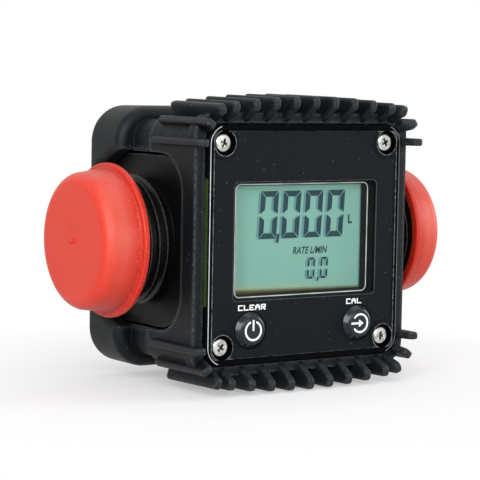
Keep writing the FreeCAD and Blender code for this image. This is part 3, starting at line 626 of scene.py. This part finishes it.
def thin_frame(half_x, low, high, corner, line):
    """A flat frame with round corners, one line wide."""
    outline = bmesh.new()
    bmesh.ops.create_grid(outline, x_segments=1, y_segments=1, size=0.5)
    bmesh.ops.scale(outline, vec=(2 * half_x, high - low, 1), verts=outline.verts[:])
    bmesh.ops.bevel(outline, geom=outline.verts[:], offset=corner, affect="VERTICES", segments=6, profile=0.5,
                    material=-1)
    middle = outline.faces[:]
    bmesh.ops.inset_region(outline, faces=middle, thickness=line, use_boundary=True, use_even_offset=True)
    bmesh.ops.delete(outline, geom=middle, context="FACES_ONLY")
    return outline


seat_frame = thin_frame(seat_half_x, seat_low, seat_high, seat_corner, seat_line)
seat_frame = stand_up(seat_frame, 0, seat_y, (seat_low + seat_high) / 2, depth=seat_depth)
add_piece("cover_seat_highlight", seat_frame, seat_glow, "meter")

# Face label: a printed film with a fine matt speckle, laid in the sunk field of the cover and
# cut out for the window, keys and screws. The words over the keys are printed in white.
film_black = (0.0025, 0.0031, 0.0041)
film_grey = (0.0125, 0.0142, 0.0166)
print_white = (0.92, 0.93, 0.94)
print_worn = (0.82, 0.83, 0.84)
dust_grey = (0.2, 0.21, 0.22)
cut_highlight_grey = (0.13, 0.14, 0.15)
cut_highlight_half = 0.13 * mm
window_corner = 1.2 * mm
print_lift = 0.012 * mm
print_y = label_low.y - print_lift
word_height = 1.4 * mm
letter_width = 1.46 * mm
letter_space = 0.27 * mm
letter_columns = (0, 0.24, 0.38, 0.62, 0.76, 1)
letter_rows = (0, 0.21, 0.4, 0.6, 0.79, 1)
letter_cells = {
    "A": ("01110", "11011", "11111", "10001", "10001"),
    "C": ("11111", "10000", "10000", "10000", "11111"),
    "E": ("11111", "10000", "11110", "10000", "11111"),
    "L": ("10000", "10000", "10000", "10000", "11111"),
    "R": ("11111", "10001", "11111", "10110", "10011"),
}
clear_x, calibrate_x = -16.45 * mm, 15.6 * mm
words_z = flow_z - 15.6 * mm


def dust(finish, place, spacing, size, share):
    """Sparse specks: the middles of some cells of a scatter pattern."""
    cells = finish.node_tree.nodes.new("ShaderNodeTexVoronoi")
    cells.inputs["Scale"].default_value = 1 / spacing
    finish.node_tree.links.new(place, cells.inputs["Vector"])
    pick = finish.node_tree.nodes.new("ShaderNodeSeparateColor")
    finish.node_tree.links.new(cells.outputs["Color"], pick.inputs["Color"])
    near = sum_up(finish, "LESS_THAN", cells.outputs["Distance"], size / spacing)
    chosen = sum_up(finish, "LESS_THAN", pick.outputs["Red"], share)
    return sum_up(finish, "MULTIPLY", near, chosen)


film, film_shader, film_place = begin_finish("label_film", film_black, roughness=0.5, gloss=0.06)
film_speckle = span(film, grain(film, film_place, 0.35 * mm, detail=4), low=0.35, high=0.7)
film_tone = colour_mix(film, film_speckle, film_black, film_grey)
film_dust = dust(film, film_place, spacing=1.8 * mm, size=0.1 * mm, share=0.5)
film_tone = colour_mix(film, film_dust, film_tone, dust_grey)
# Painted highlight: a thin broken pale line along the cut edge of the window.
window_cut = outline_mask(film, film_place, window_half_x, window_low, window_high, window_corner, cut_highlight_half)
cut_edge_highlight = sum_up(film, "MULTIPLY", window_cut, film_speckle)
set_colour(film, film_shader, colour_mix(film, cut_edge_highlight, film_tone, cut_highlight_grey))
grain_bump(film, film_shader, film_place, 0.25 * mm, depth=0.02 * mm, edge_round=0.05 * mm, detail=3)
film_shader.inputs["Specular Tint"].default_value = (0.86, 0.95, 1, 1)
coat(film, "face_label")

white_ink, white_shader, white_place = begin_finish("white_print", print_white, roughness=0.5, gloss=0.3)
white_cloud = grain(white_ink, white_place, 0.5 * mm)
set_colour(white_ink, white_shader, colour_mix(white_ink, white_cloud, print_white, print_worn))


def block_letter(letter):
    """A wide capital, cut from a flat sheet of five by five unequal cells."""
    sheet = bmesh.new()
    bmesh.ops.create_grid(sheet, x_segments=5, y_segments=5, size=2.5)
    blank = []
    for cell in sheet.faces:
        middle = cell.calc_center_median()
        if letter_cells[letter][round(2 - middle.y)][round(middle.x + 2)] == "0":
            blank.append(cell)
    bmesh.ops.delete(sheet, geom=blank, context="FACES")
    for vert in sheet.verts:
        column = letter_columns[round(vert.co.x + 2.5)]
        row = letter_rows[round(vert.co.y + 2.5)]
        vert.co = Vector(((column - 0.5) * letter_width, (row - 0.5) * word_height, 0))
    bmesh.ops.dissolve_limit(sheet, angle_limit=0.01, verts=sheet.verts[:], edges=sheet.edges[:])
    return sheet


def block_word(word, x, z):
    """A printed word, centred on a point of the label."""
    advance = letter_width + letter_space
    first_x = x - (len(word) - 1) * advance / 2
    return join_shapes([stand_up(block_letter(letter), first_x + i * advance, print_y, z)
                        for i, letter in enumerate(word)])


add_piece("reset_word", block_word("CLEAR", clear_x, words_z), white_ink, "meter")
add_piece("calibrate_word", block_word("CAL", calibrate_x, words_z), white_ink, "meter")

# Keys: two low round domes of the same film, pressed against tact switches behind. The left one
# has the usual on-off sign and the right one an arrow into a ring, both printed in white.
key_low, key_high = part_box("reset_key")
key_z = (key_low.z + key_high.z) / 2
key_x = -(key_low.x + key_high.x) / 2
sign_radius = 2.58 * mm
sign_stroke = 0.52 * mm
sign_y = key_low.y - print_lift
on_off_length, on_off_rise = 2.75 * mm, 1.35 * mm
shaft_length, shaft_offset = 2.6 * mm, -1.6 * mm
head_length, head_spread, head_offset = 1.5 * mm, 2 * mm, 0.1 * mm

key_film, key_shader, key_place = begin_finish("key_film", film_black, roughness=0.22, gloss=0.4)
key_tone = span(key_film, grain(key_film, key_place, 0.35 * mm, detail=4), low=0.35, high=0.7)
set_colour(key_film, key_shader, colour_mix(key_film, key_tone, film_black, film_grey))
grain_bump(key_film, key_shader, key_place, 0.3 * mm, depth=0.012 * mm, edge_round=0.3 * mm, detail=3)
key_shader.inputs["Specular Tint"].default_value = (0.8, 0.9, 1, 1)
coat(key_film, "reset_key", "calibrate_key")


def open_ring(start, sweep):
    """A flat ring of the sign's stroke, from a start angle round by a sweep, both in degrees."""
    ring = bmesh.new()
    inner = ring.verts.new((sign_radius - sign_stroke, 0, 0))
    outer = ring.verts.new((sign_radius, 0, 0))
    ring.edges.new((inner, outer))
    bmesh.ops.rotate(ring, cent=(0, 0, 0), matrix=Matrix.Rotation(math.radians(start), 3, "Z"),
                     verts=ring.verts[:])
    bmesh.ops.spin(ring, geom=ring.verts[:] + ring.edges[:], cent=(0, 0, 0), axis=(0, 0, 1),
                   angle=math.radians(sweep), steps=40)
    return ring


def arrow_head(length, height):
    """A flat triangle that points right, scaled from one whose corners lie on a circle of radius 1."""
    head = bmesh.new()
    bmesh.ops.create_circle(head, cap_ends=True, segments=3, radius=1)
    bmesh.ops.rotate(head, cent=(0, 0, 0), matrix=Matrix.Rotation(-math.pi / 2, 3, "Z"), verts=head.verts[:])
    bmesh.ops.scale(head, vec=(length / 1.5, height / math.sqrt(3), 1), verts=head.verts[:])
    return head


on_off = [
    stand_up(open_ring(start=111, sweep=318), -key_x, sign_y, key_z),
    stand_up(flat_bar(sign_stroke, on_off_length), -key_x, sign_y, key_z + on_off_rise),
]
add_piece("reset_sign", join_shapes(on_off), white_ink, "reset_button")
arrow_in = [
    stand_up(open_ring(start=-145, sweep=290), key_x, sign_y, key_z),
    stand_up(flat_bar(shaft_length, sign_stroke), key_x + shaft_offset, sign_y, key_z),
    stand_up(arrow_head(head_length, head_spread), key_x + head_offset, sign_y, key_z),
]
add_piece("calibrate_sign", join_shapes(arrow_in), white_ink, "calibrate_button")

# Cover screws: four bright nickel-plated pan heads with cross recesses, sunk in round pockets of
# the cover. Each stopped at its own angle when it was driven home.
screw_low, screw_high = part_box("cover_screws")
head_radius = 2.45 * mm
head_height = 1.2 * mm
head_crown = 0.66 * mm
shank_radius = 1.25 * mm
recess_length = 3.2 * mm
recess_width = 0.75 * mm
recess_depth = 0.9 * mm
recess_floor = (0.35, 1, 0.7)
recess_turns = (20, 65, 40, 10)
recess_shade_reach = 0.6 * mm
nickel_bright = (0.66, 0.675, 0.64)
nickel_dull = (0.3, 0.305, 0.29)
recess_shade = (0.015, 0.015, 0.014)

nickel, nickel_shader, nickel_place = begin_finish("bright_nickel", nickel_bright, roughness=0.22, gloss=0.5)
nickel_shader.inputs["Metallic"].default_value = 1
nickel_cloud = span(nickel, grain(nickel, nickel_place, 0.8 * mm, detail=4), low=0.3, high=0.62)
nickel_tone = colour_mix(nickel, nickel_cloud, nickel_dull, nickel_bright)
# Painted shade: the walls of the cross recesses and other hollows of the heads go dark.
recess_shade_mask = hemmed_in(nickel, recess_shade_reach, inside=False)
set_colour(nickel, nickel_shader, colour_mix(nickel, recess_shade_mask, nickel_tone, recess_shade))
grain_bump(nickel, nickel_shader, nickel_place, 0.12 * mm, depth=0.006 * mm, edge_round=0.08 * mm, detail=3)


def pan_screw(x, z):
    """Head and shank turned in one profile about the screw's own axis."""
    screw = bmesh.new()
    front = screw_low.y
    profile = [(0, front), (head_radius - head_crown, front)]
    for step in (30, 60, 90):
        angle = math.radians(step)
        profile.append((head_radius - head_crown + head_crown * math.sin(angle),
                        front + head_crown * (1 - math.cos(angle))))
    profile += [(head_radius, front + head_height), (shank_radius, front + head_height),
                (shank_radius, screw_high.y - shank_radius), (0, screw_high.y)]
    spots = [screw.verts.new((x + radius, y, z)) for radius, y in profile]
    for first, second in zip(spots, spots[1:]):
        screw.edges.new((first, second))
    bmesh.ops.spin(screw, geom=screw.verts[:] + screw.edges[:], cent=(x, 0, z), axis=(0, 1, 0),
                   angle=math.tau, steps=32, use_merge=True)
    bmesh.ops.remove_doubles(screw, verts=screw.verts[:], dist=0.001 * mm)
    bmesh.ops.recalc_face_normals(screw, faces=screw.faces[:])
    return screw


def recess_bar(x, z, turn):
    """One arm pair of a cross recess: a wedge that narrows towards its floor."""
    bar = bmesh.new()
    bmesh.ops.create_cube(bar, size=1)
    bmesh.ops.scale(bar, vec=(recess_length, 2 * recess_depth, recess_width), verts=bar.verts[:])
    floor_corners = [vert for vert in bar.verts if vert.co.y > 0]
    bmesh.ops.scale(bar, vec=recess_floor, verts=floor_corners)
    bmesh.ops.rotate(bar, cent=(0, 0, 0), matrix=Matrix.Rotation(math.radians(turn), 3, "Y"),
                     verts=bar.verts[:])
    bmesh.ops.translate(bar, vec=(x, screw_low.y, z), verts=bar.verts[:])
    return bar


def cut_from(piece, cutter):
    """Cuts one bmesh out of a piece's mesh."""
    tool_mesh = bpy.data.meshes.new("recess_tool")
    cutter.to_mesh(tool_mesh)
    cutter.free()
    tool = bpy.data.objects.new("recess_tool", tool_mesh)
    bpy.context.scene.collection.objects.link(tool)
    cut = piece.modifiers.new("recess", "BOOLEAN")
    cut.operation = "DIFFERENCE"
    cut.object = tool
    shaped = bpy.data.meshes.new_from_object(piece.evaluated_get(bpy.context.evaluated_depsgraph_get()))
    piece.modifiers.remove(cut)
    piece.data = shaped
    bpy.data.objects.remove(tool)


screw_x = screw_high.x - head_radius
screw_rise = screw_high.z - head_radius - flow_z
corners = [(-screw_x, flow_z + screw_rise), (screw_x, flow_z + screw_rise),
           (-screw_x, flow_z - screw_rise), (screw_x, flow_z - screw_rise)]
screws = add_piece("cross_head_screws", join_shapes([pan_screw(x, z) for x, z in corners]), nickel, "meter")
for (x, z), turn in zip(corners, recess_turns):
    cut_from(screws, recess_bar(x, z, turn))
    cut_from(screws, recess_bar(x, z, turn + 90))
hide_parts("cover_screws")

# Guard and rear shell: soft black rubber mouldings that slip over the display head and the back
# of the body. The skin is dull and a little dusty, and every edge of the fins is rounded.
rubber_black = (0.0018, 0.0022, 0.0028)
rubber_grey = (0.0045, 0.0055, 0.0065)
rubber_edge_highlight = (0.078, 0.086, 0.096)
rubber_dust = (0.24, 0.25, 0.26)
rubber_highlight_reach = 1.3 * mm

rubber, rubber_shader, rubber_place = begin_finish("guard_rubber", rubber_black, roughness=0.5, gloss=0.19)
rubber_cloud = span(rubber, grain(rubber, rubber_place, 7 * mm, detail=5), low=0.3, high=0.75)
rubber_tone = colour_mix(rubber, rubber_cloud, rubber_black, rubber_grey)
rubber_specks = dust(rubber, rubber_place, spacing=1.5 * mm, size=0.1 * mm, share=0.38)
# Painted highlight: a pale line along every rounded outer edge, broken up by fine grain.
rubber_highlight_breaks = span(rubber, grain(rubber, rubber_place, 0.45 * mm, detail=4), low=0.35, high=0.72)
rubber_edges = hemmed_in(rubber, rubber_highlight_reach, inside=True)
rubber_highlight = sum_up(rubber, "MULTIPLY", rubber_edges, rubber_highlight_breaks)
rubber_tone = colour_mix(rubber, rubber_highlight, rubber_tone, rubber_edge_highlight)
set_colour(rubber, rubber_shader, colour_mix(rubber, rubber_specks, rubber_tone, rubber_dust))
rubber_skin = grain(rubber, rubber_place, 3 * mm, detail=3)
rubber_rough = span(rubber, rubber_skin, low=0, high=1, first=0.38, last=0.58)
rubber.node_tree.links.new(rubber_rough, rubber_shader.inputs["Roughness"])
grain_bump(rubber, rubber_shader, rubber_place, 0.3 * mm, depth=0.03 * mm, edge_round=0.4 * mm, detail=4)
rubber_shader.inputs["Specular Tint"].default_value = (0.86, 0.95, 1, 1)
coat(rubber, "finned_guard", "rear_shell")

# Port caps: thin push-on caps of soft red polyethylene, waxy and slightly see-through, so they are
# deeper red over the black stub. A gate nub is left where the mould was filled.
cap_low, cap_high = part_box("outlet_cap")
cap_red = (0.64, 0.036, 0.015)
cap_rose = (0.7, 0.047, 0.021)
cap_deep = (0.52, 0.024, 0.01)
cap_sheen = (0.62, 0.092, 0.062)
cap_bloom = (0.72, 0.095, 0.063)
cap_scuff = (0.8, 0.2, 0.16)
gate_red = (0.45, 0.025, 0.015)
gate_radius = 0.6 * mm
barrel_start, barrel_full = 15 * mm, 17.5 * mm
sheen_start, sheen_full = flow_z - 12 * mm, flow_z + 1 * mm
stub_start, stub_full = cap_high.x - 6 * mm, cap_low.x + 2.5 * mm

polyethylene, cap_shader, cap_place = begin_finish("red_polyethylene", cap_red, roughness=0.42, gloss=0.28)
cap_cloud = grain(polyethylene, cap_place, 10 * mm, detail=3)
cap_radial = from_flow_axis(polyethylene, cap_place)
gate = span(polyethylene, cap_radial, gate_radius, gate_radius / 3)
cap_tone = colour_mix(polyethylene, cap_cloud, cap_red, cap_rose)
cap_x, _, cap_z = axes_of(polyethylene, cap_place)
cap_along = sum_up(polyethylene, "ABSOLUTE", cap_x, 0)
# Painted sheen: the upper side of the barrel is paler, in cloudy patches.
on_barrel = span(polyethylene, cap_radial, barrel_start, barrel_full)
on_upper_side = span(polyethylene, cap_z, sheen_start, sheen_full)
cap_sheen_mask = sum_up(polyethylene, "MULTIPLY", on_barrel, on_upper_side)
cap_sheen_mask = sum_up(polyethylene, "MULTIPLY", cap_sheen_mask, span(polyethylene, cap_cloud, low=0.25, high=0.5))
cap_tone = colour_mix(polyethylene, cap_sheen_mask, cap_tone, cap_sheen)
backed_by_stub = span(polyethylene, cap_along, stub_start, stub_full)
cap_tone = colour_mix(polyethylene, backed_by_stub, cap_tone, cap_deep)
cap_mottle = span(polyethylene, grain(polyethylene, cap_place, 0.5 * mm, detail=3), low=0.5, high=0.85)
cap_tone = colour_mix(polyethylene, cap_mottle, cap_tone, cap_bloom)
cap_specks = dust(polyethylene, cap_place, spacing=1.3 * mm, size=0.1 * mm, share=0.28)
cap_tone = colour_mix(polyethylene, cap_specks, cap_tone, cap_scuff)
set_colour(polyethylene, cap_shader, colour_mix(polyethylene, gate, cap_tone, gate_red))
cap_shader.inputs["Subsurface Weight"].default_value = 0.5
cap_shader.inputs["Subsurface Scale"].default_value = 1
cap_shader.inputs["Subsurface Radius"].default_value = (3 * mm, 0.5 * mm, 0.35 * mm)
grain_bump(polyethylene, cap_shader, cap_place, 0.5 * mm, depth=0.025 * mm, edge_round=0.3 * mm, detail=3)
coat(polyethylene, "inlet_cap", "outlet_cap")

# Studio: a wide white floor and sky, five soft lamps, and the shadow under the object. Away from
# the object the floor fades into the sky's own white, so no horizon shows.
floor_half = 3.0
floor_white = (0.93, 0.93, 0.93)
floor_pale = (0.94, 0.94, 0.94)
floor_patch = 0.5
shadow_start = -0.04
white_reach = 0.12
floor_bounce = (0.7, 0.7, 0.7)
sky_strength = 0.2


def seen_directly(tree):
    """1 for rays from the camera or off metal and through glass, 0 for the rays that light the object."""
    rays = tree.nodes.new("ShaderNodeLightPath")
    direct = rays.outputs["Is Camera Ray"]
    for kind in ("Is Glossy Ray", "Is Transmission Ray"):
        either = tree.nodes.new("ShaderNodeMath")
        either.operation = "MAXIMUM"
        tree.links.new(direct, either.inputs[0])
        tree.links.new(rays.outputs[kind], either.inputs[1])
        direct = either.outputs["Value"]
    return direct


floor_shape = bmesh.new()
bmesh.ops.create_grid(floor_shape, x_segments=1, y_segments=1, size=floor_half)
floor_mesh = bpy.data.meshes.new("floor")
floor_shape.to_mesh(floor_mesh)
floor_shape.free()
floor_paint, floor_shader, floor_place = begin_finish("pale_floor", floor_white, roughness=0.9, gloss=0.1)
floor_cloud = grain(floor_paint, floor_place, floor_patch, detail=1)
floor_tone = colour_mix(floor_paint, floor_cloud, floor_white, floor_pale)
floor_tree = floor_paint.node_tree
floor_distance = floor_tree.nodes.new("ShaderNodeVectorMath")
floor_distance.operation = "LENGTH"
floor_tree.links.new(floor_place, floor_distance.inputs[0])
far = span(floor_paint, floor_distance.outputs["Value"], shadow_start, white_reach)
floor_seen = seen_directly(floor_tree)
far_and_seen = sum_up(floor_paint, "MULTIPLY", far, floor_seen)
set_colour(floor_paint, floor_shader, colour_mix(floor_paint, floor_seen, floor_bounce, floor_tone))
white_light = floor_tree.nodes.new("ShaderNodeEmission")
blend_out = floor_tree.nodes.new("ShaderNodeMixShader")
floor_tree.links.new(far_and_seen, blend_out.inputs[0])
floor_tree.links.new(floor_shader.outputs[0], blend_out.inputs[1])
floor_tree.links.new(white_light.outputs[0], blend_out.inputs[2])
floor_tree.links.new(blend_out.outputs[0], floor_tree.nodes["Material Output"].inputs["Surface"])
floor_mesh.materials.append(floor_paint)
floor = bpy.data.objects.new("floor", floor_mesh)
bpy.context.scene.collection.objects.link(floor)

world = bpy.data.worlds.new("studio_sky")
bpy.context.scene.world = world
world.use_nodes = True
sky = world.node_tree.nodes["Background"]
sky.inputs["Color"].default_value = (1, 1, 1, 1)
sky_level = world.node_tree.nodes.new("ShaderNodeMapRange")
sky_level.inputs["To Min"].default_value = sky_strength
sky_level.inputs["To Max"].default_value = 1
world.node_tree.links.new(seen_directly(world.node_tree), sky_level.inputs["Value"])
world.node_tree.links.new(sky_level.outputs["Result"], sky.inputs["Strength"])

for lamp_name, lamp_place, lamp_width, lamp_height, lamp_power in (
        ("key_lamp", (-0.55, -0.85, 0.55), 0.6, 0.6, 7.6),
        ("front_lamp", (0.3, -1.05, 0.2), 0.2, 0.36, 1.8),
        ("left_lamp", (-0.87, -0.46, 0.36), 0.22, 0.7, 5.4),
        ("right_lamp", (1.0, -0.3, 0.3), 0.3, 0.5, 4.8),
        ("top_lamp", (0.35, 0.1, 1.15), 1.0, 1.0, 4.0)):
    lamp_data = bpy.data.lights.new(lamp_name, "AREA")
    lamp_data.shape = "RECTANGLE"
    lamp_data.size = lamp_width
    lamp_data.size_y = lamp_height
    lamp_data.energy = lamp_power
    lamp = bpy.data.objects.new(lamp_name, lamp_data)
    lamp.location = lamp_place
    aim = Vector((0, 0, flow_z)) - lamp.location
    lamp.rotation_euler = aim.to_track_quat("-Z", "Y").to_euler()
    bpy.context.scene.collection.objects.link(lamp)

# Camera: at the photograph's place, left of the display and slightly above it. A long lens keeps
# the square face nearly square.
view_azimuth = math.radians(-34.583)
view_elevation = math.radians(4.728)
view_roll = math.radians(1.015)
view_place = Vector((-281.18, -399.25, 76.75)) * mm
sensor_width = 36.0
view_lens = 140.11
camera_data = bpy.data.cameras.new("camera")
camera_data.sensor_width = sensor_width
camera_data.lens = view_lens
camera = bpy.data.objects.new("camera", camera_data)
turn = Matrix.Rotation(view_azimuth, 4, "Z") @ Matrix.Rotation(math.pi / 2 - view_elevation, 4, "X")
camera.matrix_world = Matrix.Translation(view_place) @ turn @ Matrix.Rotation(view_roll, 4, "Z")
bpy.context.scene.collection.objects.link(camera)
bpy.context.scene.camera = camera
bpy.context.scene.view_settings.view_transform = "Standard"
